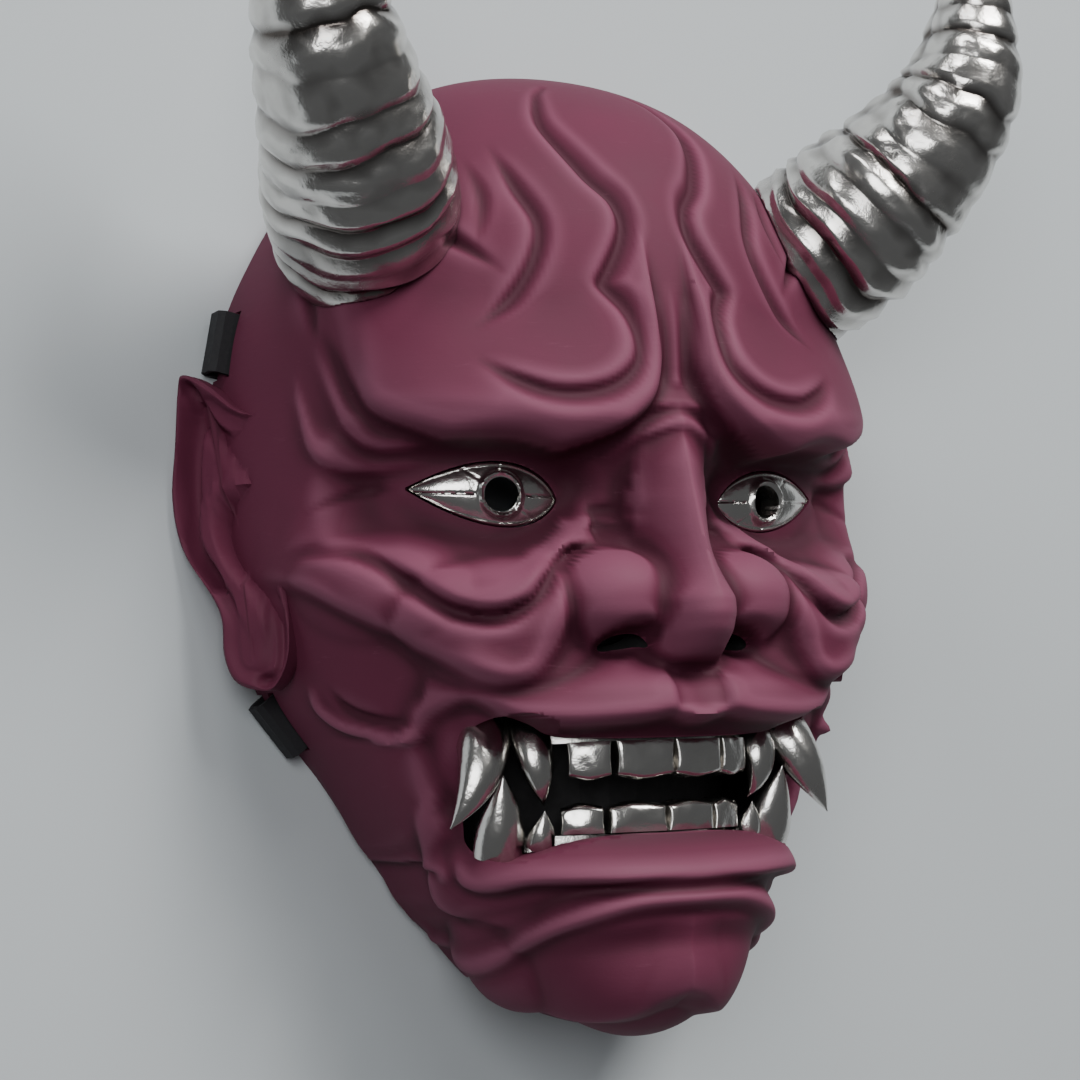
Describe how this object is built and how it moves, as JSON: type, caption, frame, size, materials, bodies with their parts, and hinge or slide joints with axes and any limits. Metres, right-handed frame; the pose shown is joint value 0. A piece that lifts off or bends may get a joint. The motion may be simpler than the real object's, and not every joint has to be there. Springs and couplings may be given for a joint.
{
  "type": "demon mask",
  "caption": "Full-face horned demon mask: a carved hollow shell with silvered horns, eye inserts and fanged teeth, and elastic straps.",
  "frame": {"origin": "middle of the outline seen from the front, on the plane of the back rim that the mask lies on", "axes": "+X the mask's own left, +Y towards the crown, +Z straight out of the face, which is up as it lies"},
  "size_m": [0.2052, 0.2726, 0.0889],
  "materials": {
    "shell": "satin maroon lacquer on cast resin",
    "silver": "polished silver plating on cast resin",
    "backing": "matt black",
    "elastic": "woven black elastic"
  },
  "bodies": {
    "root": {"face_shell": "shell", "left_horn": "silver", "right_horn": "silver", "left_eye": "silver", "right_eye": "silver", "upper_teeth": "silver", "lower_teeth": "silver", "mouth_backing": "backing", "upper_strap": "elastic", "lower_strap": "elastic"}
  },
  "joints": []
}
